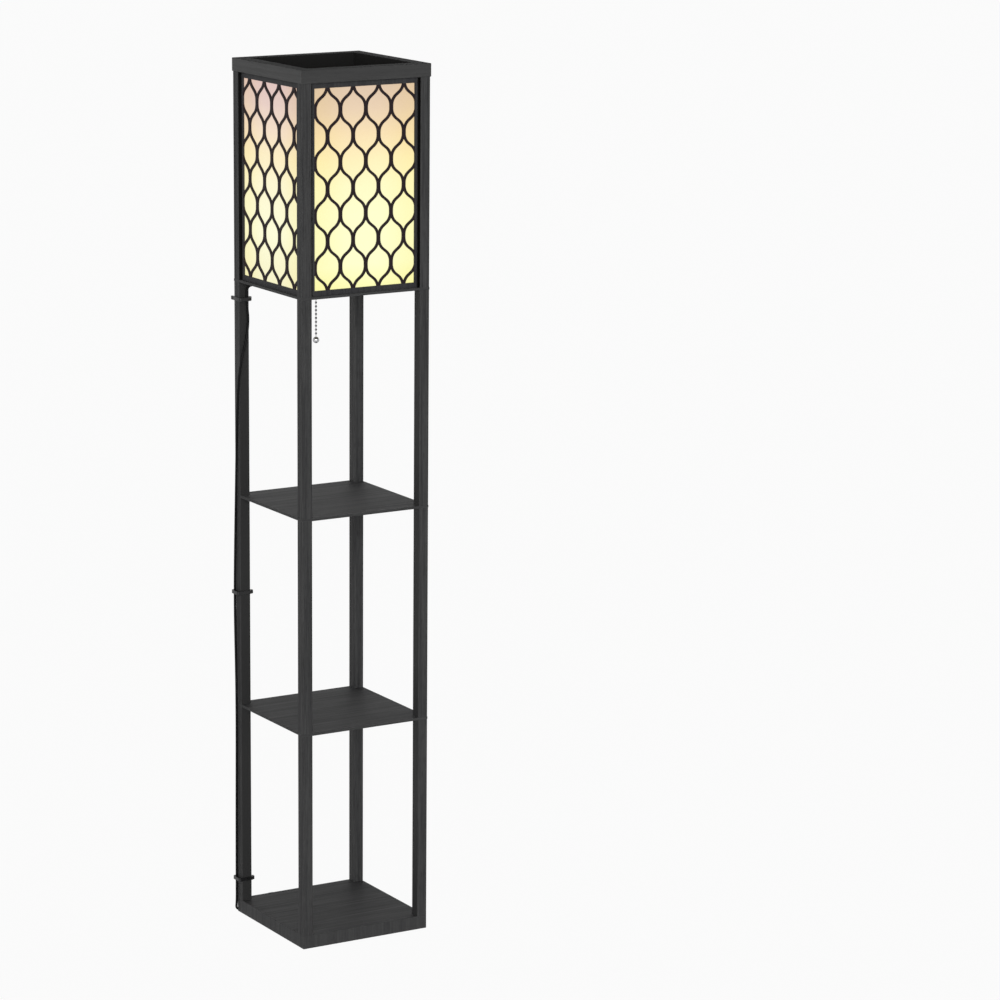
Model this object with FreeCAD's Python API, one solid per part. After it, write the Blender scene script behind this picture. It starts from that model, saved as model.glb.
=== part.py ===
# Shelf floor lamp: a square tower of four wooden posts, a base board and two open
# shelves, with a lit lattice shade built round the top of the posts.
# Millimetres, +Z up. The origin is the middle of the base's underside, on the floor.
# Front is -Y and left is -X.
import FreeCAD, Part
import math
import os

V = FreeCAD.Vector
os.makedirs("parts", exist_ok=True)

# ---- driving dimensions -------------------------------------------------------------
frame_width = 258.6  # outside of the posts, both ways
post_side = 19.5
post_edge = 0.8  # eased long edges
base_height = 25.0
lower_tier = 375.5  # post lengths, from the floor up
middle_tier = 391.5
upper_tier = 394.0
shade_tier = 375.9
shelf_thickness = 4.7
shelf_lip = 0.4  # the boards stand this far past the post faces
board_edge = 0.5
collar_height = 24.0
collar_depth = 25.0
collar_lip = 1.2

# joint hardware inside the posts
stud_radius = 3.0
stud_bite = 17.5  # into each post
base_screw_radius = 2.5
base_screw_bite = 30.0
base_screw_head_radius = 4.6
base_screw_head_height = 3.2
base_screw_sink = 4.0
dowel_radius = 3.0
dowel_bite = 14.0
hole_clearance = 0.05

# lattice panels of the shade
panel_recess = 5.0  # lattice behind the post faces
grille_thickness = 3.0
grille_gap = 3.6  # dark slot between lattice and post
grille_rail_low = 9.4
grille_rail_top = 9.8
grille_stile = 4.9
screen_thickness = 0.8
backer_thickness = 6.0
backer_bar = 8.6
backer_fit = 0.1
strand_width = 4.5
neck_offset = 1.1  # strand centre line beside the middle of a neck
neck_straight = 5.8
strand_slope = 52.0  # degrees from upright, where a strand crosses over
row_pitch = 46.2  # up and down, from one row of necks to the next
front_pitch = 51.3
front_shift = 2.4  # a front or back lattice is cut off centre by this much
side_pitch = 55.5
side_shift = 5.8

# shade floor opening and the bar across it
floor_rim = 31.3  # width of the floor board round its opening
bar_width = 28.0
bar_thickness = 2.5
bar_seat = 11.0  # how far the bar lies on the floor board
bar_corner = 4.0
bar_screw_radius = 1.75
bar_screw_head_radius = 3.6
bar_screw_head_height = 2.0
bar_screw_bite = 4.0
bar_screw_slot = 0.8

# lampholder
nipple_radius = 5.0
nipple_bore = 3.2
nipple_below = 5.0
nut_flats = 14.0
nut_height = 3.0
cap_radius = 18.0
cap_wall = 0.8
cap_rounding = 4.0
cap_height = 16.5
cap_floor = 4.6
shell_wall = 0.8
shell_fit = 0.1
shell_overlap = 5.0
shell_height = 43.0
switch_fit = 0.2
switch_height = 18.0
switch_floor = 1.5  # above the end of the nipple
liner_wall = 0.5
liner_fit = 0.3
guide_reach = 31.0  # from the lamp's axis to the chain
guide_radius = 3.7
guide_bore = 2.5
guide_mouth = 5.2
guide_waist = 4.1
guide_drop = 9.0
guide_above = 9.0  # middle of the guide above the underside of the switch body
chain_inside = 2.0  # first bead below the middle of the guide

# bulb
bulb_cap_radius = 13.05
bulb_cap_height = 24.0
thread_depth = 0.7
thread_count = 4
thread_pitch = 3.63
thread_clear = 1.5  # plain cone below the thread
cap_skirt = 2.0  # plain band at the glass
cap_taper = 1.0
contact_radius = 5.0
contact_height = 2.0
contact_gap = 0.3
bulb_radius = 30.0
bulb_neck = 12.4
bulb_height = 84.0
bulb_wall = 0.8
bulb_seat = 0.1
neck_meets_globe = 38.0  # degrees below the globe's middle
neck_hollow = 1.6  # the neck curves in by this much, and down by the next
neck_rise = 3.0

# pull chain
bead_radius = 2.1
bead_pitch = 7.05
chain_wire = 0.55
top_bead_count = 2
middle_bead_count = 1
lower_bead_count = 14
ball_radius = 6.0
ball_drop = 11.8  # below the last bead
link_gap = 0.3

# supply cord, its ties and its plug
cord_radius = 2.25
grip_length = 14.0
grip_base_radius = 4.6
grip_tip_radius = 3.2
grip_height = 11.4  # above the bar
cord_straight = 14.7  # out of the grip, before the first bend
floor_lead = 13.5  # straight on the floor, before the hank
tie_height = 6.4
tie_thickness = 2.4
tie_clearance = 0.5
tie_corner = 1.2
tie_head = (3.2, 6.0, 7.2)
tie_head_edge = 0.8
tie_levels = (1164.1, 617.4, 67.1)
hank_x = -41.0  # middle of the hank, left of the lamp's axis
hank_clear = 1.0  # between the base and the hank
hank_run = 88.0  # straight length of the folded hank
hank_step = 5.2  # from one loop to the next beside it
hank_layer = 5.25  # from the lower layer to the upper one
hank_fold = 13.5  # tightest fold, at the middle of the cord
hank_draw = 7.0  # how far the tie draws each run in
hank_lift = 1.3  # the middle rests on the tie
hank_tie_width = 9.0
hank_tie_thickness = 1.0
hank_tie_corner = 1.5
hank_tie_gap = 0.3
plug_lead = 36.0  # from the last loop to the plug
plug_shift = 8.6  # the lead swings out by this much on the way
relief_length = 20.0
relief_tip_radius = 2.9
relief_root_radius = 4.4
plug_length = 27.0
plug_width = 20.0
plug_height = 15.0
plug_rounding = 3.0
blade_spacing = 12.7
blade_length = 17.5
blade_height = 6.35
blade_thickness = 1.5
blade_bite = 6.0  # inside the plug

# ---- levels and places worked out from them -----------------------------------------
half = frame_width / 2
post_inner = half - post_side
post_axis = half - post_side / 2
lower_shelf_z = base_height + lower_tier
upper_shelf_z = lower_shelf_z + shelf_thickness + middle_tier
floor_z = upper_shelf_z + shelf_thickness + upper_tier
shade_z = floor_z + shelf_thickness
collar_z = shade_z + shade_tier
top_z = collar_z + collar_height
corners = {
    "front_left": (-1, -1),
    "front_right": (1, -1),
    "back_left": (-1, 1),
    "back_right": (1, 1),
}
turns = {"front": 0, "right": 90, "back": 180, "left": 270}


def block(x0, y0, z0, x1, y1, z1):
    return Part.makeBox(x1 - x0, y1 - y0, z1 - z0, V(x0, y0, z0))


def rod(radius, z0, z1, x=0.0, y=0.0):
    return Part.makeCylinder(radius, z1 - z0, V(x, y, z0))


def turned(profile):
    """A solid of revolution about Z from (radius, z) points and arcs given as triples."""
    edges = []
    here = profile[0]
    for step in profile[1:] + [profile[0]]:
        if len(step) == 4:
            through, there = (step[0], step[1]), (step[2], step[3])
            edges.append(
                Part.Arc(
                    V(here[0], 0, here[1]), V(through[0], 0, through[1]), V(there[0], 0, there[1])
                ).toShape()
            )
        else:
            there = step
            edges.append(Part.LineSegment(V(here[0], 0, here[1]), V(there[0], 0, there[1])).toShape())
        here = there
    return Part.Face(Part.Wire(edges)).revolve(V(0, 0, 0), V(0, 0, 1), 360)


def eased(solid, radius, wanted):
    """Round the edges that wanted() picks."""
    edges = [e for e in solid.Edges if wanted(e)]
    return solid.makeFillet(radius, edges)


def upright(edge):
    a, b = (v.Point for v in edge.Vertexes)
    return abs(a.x - b.x) < 1e-6 and abs(a.y - b.y) < 1e-6


def save(name, shape):
    if not shape.isValid():
        print("NOT VALID", name)
    shape.exportStep("parts/" + name + ".step")
    print(f"{name:24s} {len(shape.Solids)} solid(s) {shape.Volume / 1000:10.3f} cm3")


# ---- base, posts and shelves --------------------------------------------------------
def at_posts(make):
    """One piece of hardware at each post, as a compound."""
    return Part.makeCompound([make(sx * post_axis, sy * post_axis) for sx, sy in corners.values()])


def base_screw(x, y, loose):
    head = rod(base_screw_head_radius + loose, base_screw_sink, base_screw_sink + base_screw_head_height, x, y)
    shank = rod(base_screw_radius + loose, base_screw_sink, base_height + base_screw_bite + loose, x, y)
    return head.fuse(shank).removeSplitter()


def make_base():
    board = eased(block(-half, -half, 0, half, half, base_height), post_edge, lambda e: True)
    for sx, sy in corners.values():
        x, y = sx * post_axis, sy * post_axis
        board = board.cut(base_screw(x, y, hole_clearance))
        board = board.cut(rod(base_screw_head_radius + hole_clearance, 0, base_screw_sink, x, y))
    return board


def make_post(sx, sy, z0, z1, hole_below, hole_above):
    """A post between two boards. Each hole is (radius, depth)."""
    side = post_side / 2
    x, y = sx * post_axis, sy * post_axis
    post = eased(block(x - side, y - side, z0, x + side, y + side, z1), post_edge, upright)
    below = rod(hole_below[0] + hole_clearance, z0, z0 + hole_below[1] + hole_clearance, x, y)
    above = rod(hole_above[0] + hole_clearance, z1 - hole_above[1] - hole_clearance, z1, x, y)
    return post.cut(below).cut(above)


def stud(z):
    """Threaded studs through the board whose underside is at z, into the posts each side."""
    return at_posts(lambda x, y: rod(stud_radius, z - stud_bite, z + shelf_thickness + stud_bite, x, y))


def make_board(z):
    reach = half + shelf_lip
    board = block(-reach, -reach, z, reach, reach, z + shelf_thickness)
    board = eased(board, board_edge, lambda e: True)
    return board.cut(at_posts(lambda x, y: rod(stud_radius + hole_clearance, z, z + shelf_thickness, x, y)))


save("base_board", make_base())
save("base_screws", at_posts(lambda x, y: base_screw(x, y, 0)))
stud_hole = (stud_radius, stud_bite)
tiers = (
    ("lower", base_height, lower_shelf_z, (base_screw_radius, base_screw_bite), stud_hole),
    ("middle", lower_shelf_z + shelf_thickness, upper_shelf_z, stud_hole, stud_hole),
    ("upper", upper_shelf_z + shelf_thickness, floor_z, stud_hole, stud_hole),
    ("shade", shade_z, collar_z, stud_hole, (dowel_radius, dowel_bite)),
)
for tier, z0, z1, hole_below, hole_above in tiers:
    for corner, (sx, sy) in corners.items():
        save(f"{tier}_post_{corner}", make_post(sx, sy, z0, z1, hole_below, hole_above))
save("lower_shelf", make_board(lower_shelf_z))
save("upper_shelf", make_board(upper_shelf_z))
save(
    "post_studs",
    Part.makeCompound([s for z in (lower_shelf_z, upper_shelf_z, floor_z) for s in stud(z).Solids]),
)

# ---- shade floor: a thin board with a square opening ---------------------------------
opening = half + shelf_lip - floor_rim
bar_reach = opening + bar_seat
bar_screw_y = opening + bar_seat / 2
bar_z = shade_z + bar_thickness
shade_floor = make_board(floor_z).cut(block(-opening, -opening, floor_z, opening, opening, shade_z))
for side in (-1, 1):
    shade_floor = shade_floor.cut(
        rod(bar_screw_radius + hole_clearance, shade_z - bar_screw_bite, shade_z, 0, side * bar_screw_y)
    )
save("shade_floor", shade_floor)

# ---- collar: four mitred boards on the post tops --------------------------------------
collar_half = half + collar_lip
collar_inner = collar_half - collar_depth


def make_collar_board():
    """The front board: eased along its length, mitred at 45 degrees at both ends."""
    board = block(-collar_half, -collar_half, collar_z, collar_half, -collar_inner, top_z)
    board = eased(board, post_edge, lambda e: not upright(e) and e.Length > collar_depth * 2)
    outline = [V(-collar_half, -collar_half, collar_z), V(collar_half, -collar_half, collar_z)]
    outline += [V(collar_inner, -collar_inner, collar_z), V(-collar_inner, -collar_inner, collar_z)]
    mitred = Part.Face(Part.makePolygon(outline + outline[:1])).extrude(V(0, 0, collar_height))
    board = board.common(mitred)
    for corner in ("front_left", "front_right"):
        sx, sy = corners[corner]
        hole = rod(dowel_radius + hole_clearance, collar_z, collar_z + dowel_bite + hole_clearance,
                   sx * post_axis, sy * post_axis)
        board = board.cut(hole)
    return board


def turned_to(shape, side):
    copy = shape.copy()
    copy.rotate(V(0, 0, 0), V(0, 0, 1), turns[side])
    return copy


for side in turns:
    save("collar_" + side, turned_to(make_collar_board(), side))
save("collar_dowels", at_posts(lambda x, y: rod(dowel_radius, collar_z - dowel_bite, collar_z + dowel_bite, x, y)))

# ---- lattice, screen and backing frame on each side of the shade ---------------------
grille_half = post_inner - grille_gap
glow_half = grille_half - grille_stile
glow_low = shade_z + grille_rail_low
glow_top = collar_z - grille_rail_top
lattice_mid = (glow_low + glow_top) / 2
grille_y = -half + panel_recess
screen_y = grille_y + grille_thickness
backer_y = screen_y + screen_thickness


def cell_face(pitch, cx, cz):
    """One opening of the lattice: round at the waist, with pointed ends where strands meet."""
    slope = math.radians(strand_slope)
    sine, cosine = math.sin(slope), math.cos(slope)
    across = pitch / 2 - 2 * neck_offset
    along = row_pitch - neck_straight
    # two equal bends and a straight between them cover across and along
    crossing = (across * sine - along * (1 - cosine)) / (sine * sine - cosine * (1 - cosine))
    bend = (along - crossing * cosine) / (2 * sine)
    waist = pitch / 2 - neck_offset - strand_width / 2
    inner, outer = bend - strand_width / 2, bend + strand_width / 2
    low = neck_straight / 2
    tip = math.acos((neck_offset + bend) / outer)

    def first(angle):
        return (waist - inner + inner * math.cos(angle), low + inner * math.sin(angle))

    def second(angle):
        return (neck_offset + bend - outer * math.cos(angle), row_pitch - low - outer * math.sin(angle))

    steps = [(first(0), first(slope / 2), first(slope))]
    steps += [(first(slope), second(slope))]
    steps += [(second(slope), second((slope + tip) / 2), second(tip))]

    def place(point, sx, sz):
        return V(cx + sx * point[0], 0, cz + sz * point[1])

    edges = [Part.LineSegment(place(first(0), s, -1), place(first(0), s, 1)).toShape() for s in (1, -1)]
    for sx in (1, -1):
        for sz in (1, -1):
            for step in steps:
                ends = [place(p, sx, sz) for p in step]
                edges.append((Part.Arc(*ends) if len(ends) == 3 else Part.LineSegment(*ends)).toShape())
    return Part.Face(Part.Wire(Part.__sortEdges__(edges)))


def sheet_face(x, z0, z1):
    points = [V(-x, 0, z0), V(x, 0, z0), V(x, 0, z1), V(-x, 0, z1), V(-x, 0, z0)]
    return Part.Face(Part.makePolygon(points))


def lattice_plate(pitch, shift):
    window = sheet_face(glow_half, glow_low, glow_top)
    columns = int(glow_half / (pitch / 2)) + 2
    rows = int((glow_top - glow_low) / 2 / row_pitch) + 2
    holes = []
    for column in range(-columns, columns + 1):
        for row in range(-rows, rows + 1):
            if (column + row) % 2:
                continue
            cell = cell_face(pitch, shift + column * pitch / 2, lattice_mid + row * row_pitch)
            holes += cell.common(window).Faces
    plate = sheet_face(grille_half, shade_z, collar_z).cut(Part.makeCompound(holes))
    return plate.extrude(V(0, grille_thickness, 0))


def at_depth(shape, y):
    copy = shape.copy()
    copy.translate(V(0, y, 0))
    return copy


screen = sheet_face(grille_half, shade_z, collar_z).extrude(V(0, screen_thickness, 0))
backer_half = post_inner - backer_fit
backer = sheet_face(backer_half, shade_z, collar_z).cut(
    sheet_face(backer_half - backer_bar, shade_z + backer_bar, collar_z - backer_bar)
).extrude(V(0, backer_thickness, 0))
front_lattice = lattice_plate(front_pitch, front_shift)
side_lattice = lattice_plate(side_pitch, side_shift)
for side in turns:
    lattice = front_lattice if side in ("front", "back") else side_lattice
    save("grille_" + side, turned_to(at_depth(lattice, grille_y), side))
    save("screen_" + side, turned_to(at_depth(screen, screen_y), side))
    save("screen_frame_" + side, turned_to(at_depth(backer, backer_y), side))

# ---- bar across the shade floor, with its screws and nipple ---------------------------
bar = block(-bar_width / 2, -bar_reach, shade_z, bar_width / 2, bar_reach, bar_z)
bar = eased(bar, bar_corner, upright)
bar = bar.cut(rod(nipple_radius + hole_clearance, shade_z, bar_z))
screws = []
for side in (-1, 1):
    y = side * bar_screw_y
    bar = bar.cut(rod(bar_screw_radius + hole_clearance, shade_z, bar_z, 0, y))
    shank = rod(bar_screw_radius, shade_z - bar_screw_bite, bar_z, 0, y)
    head = rod(bar_screw_head_radius, bar_z, bar_z + bar_screw_head_height, 0, y)
    slot_x, slot_y = bar_screw_head_radius, bar_screw_slot / 2
    head_top = bar_z + bar_screw_head_height
    slot = block(-slot_x, y - slot_y, head_top - bar_screw_head_height / 2, slot_x, y + slot_y, head_top)
    screws.append(shank.fuse(head).removeSplitter().cut(slot))
save("socket_bar", bar)
save("bar_screws", Part.makeCompound(screws))

nipple_top = bar_z + cap_height - shell_overlap
nipple_low = shade_z - nipple_below
nipple = rod(nipple_radius, nipple_low, nipple_top).cut(rod(nipple_bore, nipple_low, nipple_top))
nut_corner = nut_flats / 2 / math.cos(math.pi / 6)
nut_points = [
    V(nut_corner * math.cos(math.pi / 3 * k), nut_corner * math.sin(math.pi / 3 * k), shade_z - nut_height)
    for k in range(7)
]
nut = Part.Face(Part.makePolygon(nut_points)).extrude(V(0, 0, nut_height))
nut = nut.cut(rod(nipple_radius + hole_clearance, shade_z - nut_height, shade_z))
save("socket_nipple", nipple)
save("nipple_nut", nut)

# ---- lampholder ------------------------------------------------------------------------
cap_top = bar_z + cap_height
shell_radius = cap_radius - cap_wall - shell_fit
shell_low = cap_top - shell_overlap
shell_top = shell_low + shell_height
switch_radius = shell_radius - shell_wall - switch_fit
switch_low = nipple_top + switch_floor
switch_top = switch_low + switch_height
grip_z = bar_z + grip_height
guide_z = switch_low + guide_above
diagonal = V(-math.sqrt(0.5), math.sqrt(0.5), 0)  # the way the cord leaves the cap


def along_diagonal(radius0, radius1, start, length):
    base = V(0, 0, grip_z) + diagonal * start
    if radius0 == radius1:
        return Part.makeCylinder(radius0, length, base, diagonal)
    return Part.makeCone(radius0, radius1, length, base, diagonal)


cap = rod(cap_radius, bar_z, cap_top)
cap = eased(cap, cap_rounding, lambda e: abs(e.BoundBox.ZMax - bar_z) < 1e-6 and len(e.Vertexes) == 1)
cap = cap.cut(rod(cap_radius - cap_wall, bar_z + cap_floor, cap_top))
cap = cap.cut(rod(nipple_radius + hole_clearance, bar_z, cap_top))
cap = cap.cut(along_diagonal(grip_base_radius + hole_clearance, grip_base_radius + hole_clearance,
                             cap_radius / 2, cap_radius))
shell = rod(shell_radius, shell_low, shell_top).cut(rod(shell_radius - shell_wall, shell_low, shell_top))
shell = shell.cut(along_diagonal(grip_base_radius + hole_clearance, grip_base_radius + hole_clearance,
                                 shell_radius / 2, shell_radius))
guide_arm = Part.makeCylinder(guide_radius, guide_reach, V(0, 0, guide_z), V(-1, 0, 0))
guide_hole = Part.makeCylinder(guide_radius + hole_clearance, guide_reach, V(0, 0, guide_z), V(-1, 0, 0))
shell = shell.cut(guide_hole)
mouth = turned([
    (0, guide_z + guide_radius), (guide_radius, guide_z + guide_radius), (guide_radius, guide_z - guide_radius),
    (guide_waist, guide_z - (guide_radius + 2 * guide_drop) / 3, guide_mouth, guide_z - guide_drop),
    (0, guide_z - guide_drop),
])
mouth.translate(V(-guide_reach, 0, 0))
switch_body = rod(switch_radius, switch_low, switch_top).fuse(guide_arm).fuse(mouth).removeSplitter()
switch_body = switch_body.cut(rod(guide_bore, guide_z - guide_drop, guide_z + bead_radius, -guide_reach, 0))
save("socket_cap", cap)
save("socket_shell", shell)
save("switch_body", switch_body)

liner_bore = bulb_cap_radius + liner_fit
liner = rod(liner_bore + liner_wall, switch_top, shell_top).cut(rod(liner_bore, switch_top, shell_top))
save("screw_shell", liner)

# ---- bulb --------------------------------------------------------------------------------
cap_base = switch_top + contact_gap
thread_low = cap_base + contact_height + thread_clear
ribs = [(0, cap_base), (contact_radius, cap_base), (contact_radius, cap_base + contact_height)]
ribs += [(bulb_cap_radius - thread_depth, thread_low)]
for turn in range(thread_count):
    z = thread_low + turn * thread_pitch
    ribs.append((bulb_cap_radius, z + thread_pitch / 2, bulb_cap_radius - thread_depth, z + thread_pitch))
cap_end = cap_base + bulb_cap_height
ribs += [(bulb_cap_radius - thread_depth, cap_end - cap_skirt - cap_taper)]
ribs += [(bulb_cap_radius, cap_end - cap_skirt)]
ribs += [(bulb_cap_radius, cap_end), (0, cap_end)]
save("bulb_cap", turned(ribs))

glass_low = cap_end + bulb_seat
glass_top = glass_low + bulb_height
globe_z = glass_top - bulb_radius


def envelope(inset):
    """The bulb's outline, as a neck that swells smoothly into a globe."""
    radius, neck = bulb_radius - inset, bulb_neck - inset
    meet = math.radians(neck_meets_globe)
    join = (radius * math.cos(meet), globe_z - radius * math.sin(meet))
    low = glass_low + inset
    lean = ((neck + join[0]) / 2 - neck_hollow, (low + join[1]) / 2 + neck_rise)
    halfway = (math.radians(90) - meet) / 2
    side = (radius * math.cos(halfway), globe_z + radius * math.sin(halfway))
    return turned([(0, low), (neck, low), (*lean, *join), (*side, 0, globe_z + radius)])


save("bulb_glass", envelope(0).cut(envelope(bulb_wall)))


# ---- pull chain ---------------------------------------------------------------------------
chain_x = -guide_reach
chain_top_z = guide_z - chain_inside


def chain(first, count):
    """Beads on one wire, from bead number first, counted down from inside the guide."""
    z_top = chain_top_z - first * bead_pitch
    z_low = z_top - (count - 1) * bead_pitch
    piece = rod(chain_wire, z_low - bead_pitch / 2 + link_gap, z_top + bead_pitch / 2 - link_gap, chain_x, 0)
    for bead in range(count):
        piece = piece.fuse(Part.makeSphere(bead_radius, V(chain_x, 0, z_top - bead * bead_pitch)))
    return piece.removeSplitter()


save("chain_top", chain(0, top_bead_count))
save("chain_middle", chain(top_bead_count, middle_bead_count))
lower_first = top_bead_count + middle_bead_count
chain_end = chain_top_z - (lower_first + lower_bead_count - 1) * bead_pitch
ball_z = chain_end - ball_drop
tail = chain(lower_first, lower_bead_count).fuse(Part.makeSphere(ball_radius, V(chain_x, 0, ball_z)))
tail = tail.fuse(rod(chain_wire, ball_z, chain_end, chain_x, 0))
save("chain_lower", tail.removeSplitter())
print("pivots z", round(chain_top_z - (top_bead_count - 0.5) * bead_pitch, 3),
      round(chain_top_z - (lower_first - 0.5) * bead_pitch, 3), "ball z", round(ball_z, 3))
print("grip z", round(grip_z, 3), "guide z", round(guide_z, 3), "switch", round(switch_low, 3), round(switch_top, 3),
      "shell top", round(shell_top, 3), "cap end", round(cap_end, 3), "glass top", round(glass_top, 3))

# ---- supply cord -----------------------------------------------------------------------------
grip_start = shell_radius - shell_wall
save("cord_grip", along_diagonal(grip_base_radius, grip_tip_radius, grip_start, grip_length))
grip_tip = V(0, 0, grip_z) + diagonal * (grip_start + grip_length)

# The hank lies on the floor close behind the base. Its runs lie along X.
least = hank_fold + hank_step / 4  # from the middle of the hank to its first lane
hank_near = half + cord_radius + hank_clear  # the run beside the base
hank_middle = hank_near + least + hank_step
hank_start = V(hank_x - hank_run / 2 - 2 * cord_radius, hank_near, cord_radius)

# The cord leaves the lampholder, dips through the floor opening, runs under the floor
# board to the back left post, turns down its front face, goes round its edge to its left
# face, down to the floor and round the corner of the base to the hank.
lead_out = grip_tip + diagonal * cord_straight
cord_points = [
    (grip_tip.x, grip_tip.y, grip_tip.z),
    (lead_out.x, lead_out.y, lead_out.z),
    (-45.0, 44.3, 1209.2),
    (-60.0, 59.6, 1199.4),
    (-72.5, 71.2, 1193.6),
    (-84.5, 81.3, 1191.4),
    (-97.0, 90.4, 1191.0),
    (-110.2, 102.2, 1190.3),
    (-115.2, 107.1, 1183.2),
    (-115.6, 107.2, 1166.0),
    (-114.3, 107.1, 1148.0),
    (-112.6, 106.9, 1131.0),
    (-113.2, 106.8, 1114.0),
    (-115.8, 106.8, 1097.0),
    (-119.6, 106.7, 1080.0),
    (-124.8, 106.6, 1062.0),
    (-129.4, 106.3, 1043.0),
    (-132.1, 107.4, 1020.0),
    (-132.5, 110.2, 994.0),
    (-132.55, 113.2, 960.0),
    (-132.55, 115.8, 918.0),
    (-132.5, 118.0, 868.0),
    (-132.4, 120.4, 812.0),
    (-132.35, 123.0, 756.0),
    (-132.4, 125.2, 699.0),
    (-132.5, 127.1, 643.0),
    (-132.6, 127.5, 586.0),
    (-132.55, 126.0, 529.0),
    (-132.45, 124.2, 471.0),
    (-132.35, 123.4, 413.0),
    (-132.3, 123.5, 354.0),
    (-132.3, 124.3, 295.0),
    (-132.35, 125.1, 236.0),
    (-132.4, 125.8, 178.0),
    (-132.35, 126.5, 122.0),
    (-132.3, 126.9, 84.0),
    (-132.3, 127.4, 60.0),
    (-131.9, 130.6, 34.0),
    (-131.3, 132.3, cord_radius),
    (hank_start.x - floor_lead, hank_start.y, hank_start.z),
    (hank_start.x, hank_start.y, hank_start.z),
]


def route(points):
    """Straight runs joined by tangent arcs, as a wire. The tightest arcs are printed."""
    spots = [V(*p) for p in points]
    edges, here, radii = [], spots[0], []
    for before, spot, after in zip(spots, spots[1:], spots[2:]):
        back, on = (before - spot), (after - spot)
        shorter = min(back.Length, on.Length)
        back.normalize()
        on.normalize()
        half_turn = (math.pi - back.getAngle(on)) / 2
        trim = 0.45 * shorter
        radius = trim / math.tan(half_turn)
        start, end = spot + back * trim, spot + on * trim
        inward = back + on
        inward.normalize()
        middle = spot + inward * (radius / math.cos(half_turn) - radius)
        edges.append(Part.LineSegment(here, start).toShape())
        edges.append(Part.Arc(start, middle, end).toShape())
        radii.append((round(radius, 1), tuple(round(c) for c in spot)))
        here = end
    edges.append(Part.LineSegment(here, spots[-1]).toShape())
    print("tightest arcs", sorted(radii)[:6])
    return Part.Wire(edges)


def tube(path, name):
    """A round tube along a wire."""
    first = path.Edges[0]
    start = first.valueAt(first.FirstParameter)
    heading = first.tangentAt(first.FirstParameter)
    ring = Part.Wire(Part.makeCircle(cord_radius, start, heading))
    solid = path.makePipeShell([ring], True, False)
    expected = math.pi * cord_radius**2 * path.Length
    print(f"{name}: length {path.Length:.1f}, volume over expected {solid.Volume / expected:.5f}")
    return solid


run_path = route(cord_points)
save("cord_run", tube(run_path, "cord_run"))


# ---- hank: loops in two layers, spiralling in below and out again above ---------------------
def easing(start, end):
    """Two equal arcs from start to end that both leave and arrive along X."""
    ahead = V(1 if end.x > start.x else -1, 0, 0)
    across = end - start
    reach = abs(across.x)
    across.x = 0
    radius = (reach**2 + across.Length**2) / (4 * across.Length)
    swing = math.asin(reach / 2 / radius) / 2
    aside = V(across)
    aside.normalize()
    rise = radius * (1 - math.cos(swing))
    one = start + ahead * (radius * math.sin(swing)) + aside * rise
    two = end - ahead * (radius * math.sin(swing)) - aside * rise
    middle = (start + end) * 0.5
    return [Part.Arc(start, one, middle).toShape(), Part.Arc(middle, two, end).toShape()]


def fold(start, end):
    """A half turn at the end of a run, bulging the way the run was heading."""
    centre = (start + end) * 0.5
    radius = (end - start).Length / 2
    out = 1 if centre.x > hank_x else -1
    return [Part.Arc(start, centre + V(out * radius, 0, 0), end).toShape()]


lanes = [-(least + hank_step), least + hank_step / 2, -least, least - hank_step / 2]
lanes += lanes[2::-1]
levels = [cord_radius] * 3 + [None] + [cord_radius + hank_layer] * 3
spot = hank_start + V(2 * cord_radius, 0, 0)
edges = [Part.LineSegment(hank_start, spot).toShape()]
for turn, (lane, level) in enumerate(zip(lanes, levels)):
    heading = 1 if turn % 2 == 0 else -1
    climb = level is None
    end_z = cord_radius + hank_layer if climb else spot.z
    side = 1 if lane < 0 else -1
    waist = V(hank_x, spot.y + side * hank_draw, (spot.z + end_z) / 2 + hank_lift)
    run_end = V(hank_x + heading * hank_run / 2, spot.y, end_z)
    edges += easing(spot, waist) + easing(waist, run_end)
    spot = run_end
    if turn + 1 < len(lanes):
        fold_end = V(spot.x, spot.y + lanes[turn + 1] - lane, spot.z)
        edges += fold(spot, fold_end)
        spot = fold_end
plug_in = spot + V(plug_lead, plug_shift, 0)
edges += easing(spot, plug_in)
straight_end = plug_in + V(2 * cord_radius, 0, 0)
edges.append(Part.LineSegment(plug_in, straight_end).toShape())
hank_path = Part.Wire(edges)


def least_gap(path):
    """The least clear distance of a tube to itself, on points along its path."""
    spots = path.discretize(Distance=1.5)
    skip = int(6 * cord_radius / 1.5)
    return min(
        (a - b).Length for i, a in enumerate(spots) for b in spots[i + skip:]
    ) - 2 * cord_radius


save("cord_hank", tube(hank_path, "cord_hank"))
print("hank gap to itself", round(least_gap(hank_path), 3), "total cord", round(run_path.Length + hank_path.Length))

# ---- plug ---------------------------------------------------------------------------------------
relief = Part.makeCone(relief_tip_radius, relief_root_radius, relief_length, straight_end, V(1, 0, 0))
body_x = straight_end.x + relief_length
body_y = straight_end.y
body = block(body_x, body_y - plug_width / 2, straight_end.z - plug_height / 2,
             body_x + plug_length, body_y + plug_width / 2, straight_end.z + plug_height / 2)
body = eased(body, plug_rounding, lambda e: True)
blades = []
for side in (-1, 1):
    y = body_y + side * blade_spacing / 2
    z = straight_end.z
    slot = block(body_x + plug_length - blade_bite, y - blade_thickness / 2, z - blade_height / 2,
                 body_x + plug_length + blade_length, y + blade_thickness / 2, z + blade_height / 2)
    body = body.cut(slot)
    blades.append(slot)
save("plug_body", relief.fuse(body).removeSplitter())
save("plug_blades", Part.makeCompound(blades))


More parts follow.
